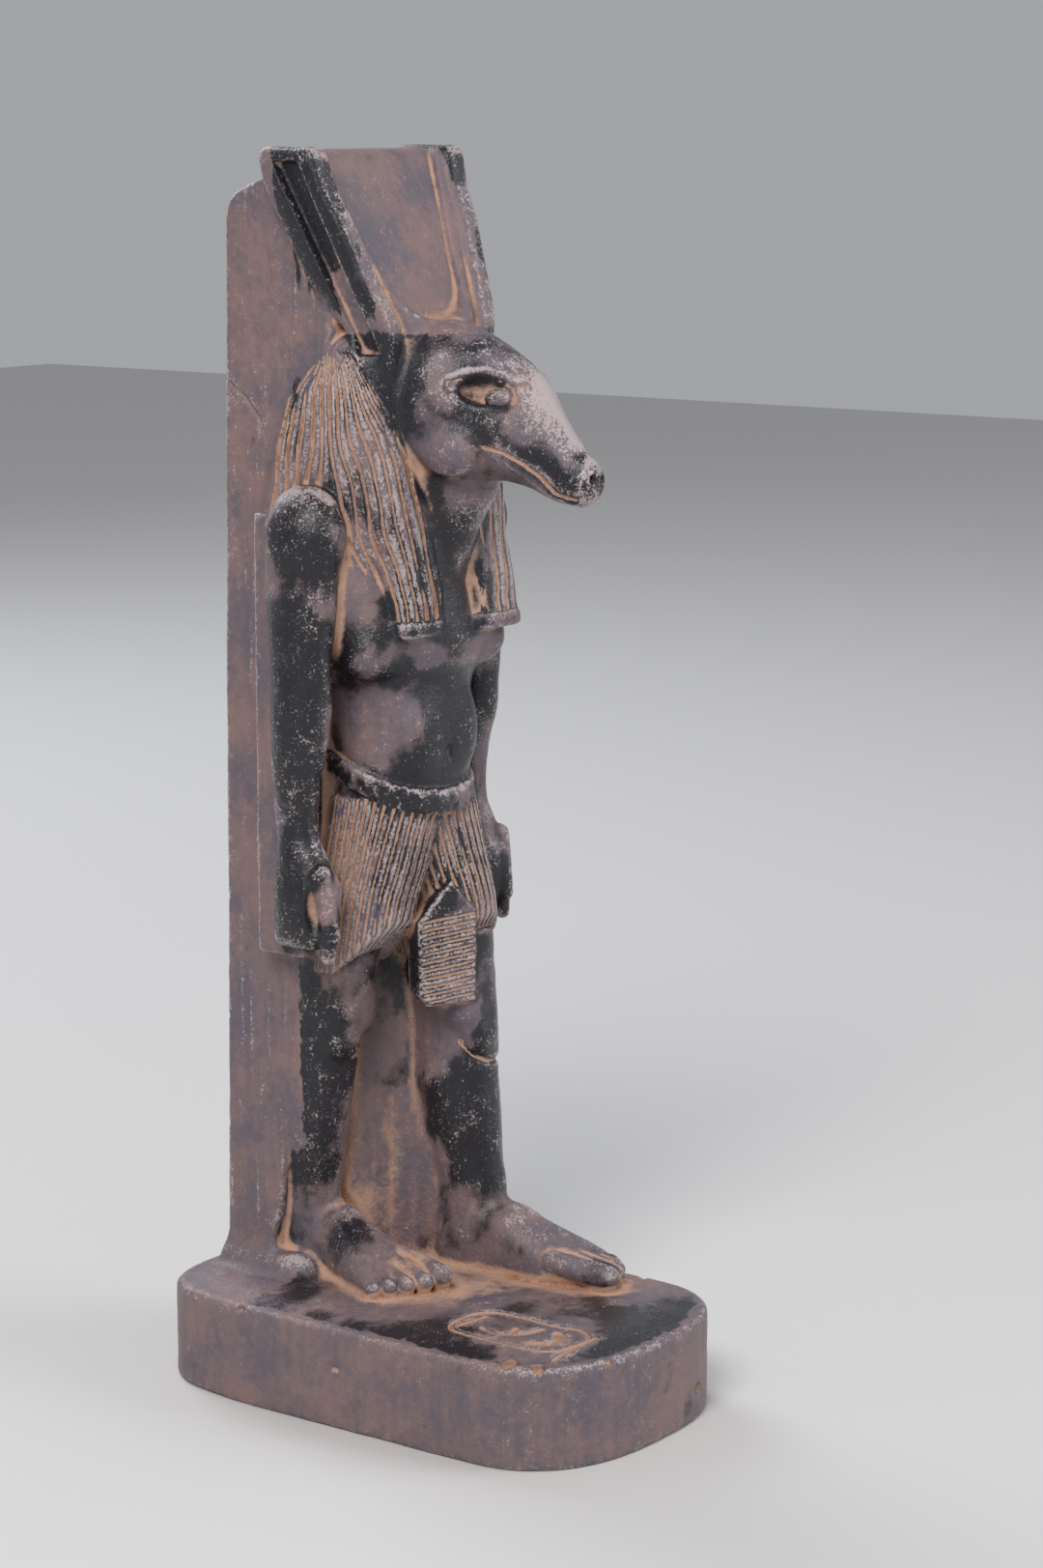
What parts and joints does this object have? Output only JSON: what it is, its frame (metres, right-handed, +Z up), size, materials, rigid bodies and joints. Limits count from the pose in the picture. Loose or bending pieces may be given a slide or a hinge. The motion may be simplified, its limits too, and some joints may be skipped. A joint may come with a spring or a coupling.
{
  "type": "seth statue",
  "caption": "Standing animal-headed figure in dark stone with tall ears, striding in a pleated kilt before a back slab on a rounded plinth, all one block.",
  "frame": {"origin": "bottom centre of the bounding box, on the surface the plinth stands on", "axes": "+Z up; -Y the way the figure faces and strides; +X towards the figure's own left"},
  "size_m": [0.0988, 0.15, 0.35],
  "materials": {
    "stone": "near-black worn stone, pecked and semi-matt, with sandy orange dust in its recesses"
  },
  "bodies": {
    "root": {"seth_statue": "stone"}
  },
  "joints": []
}
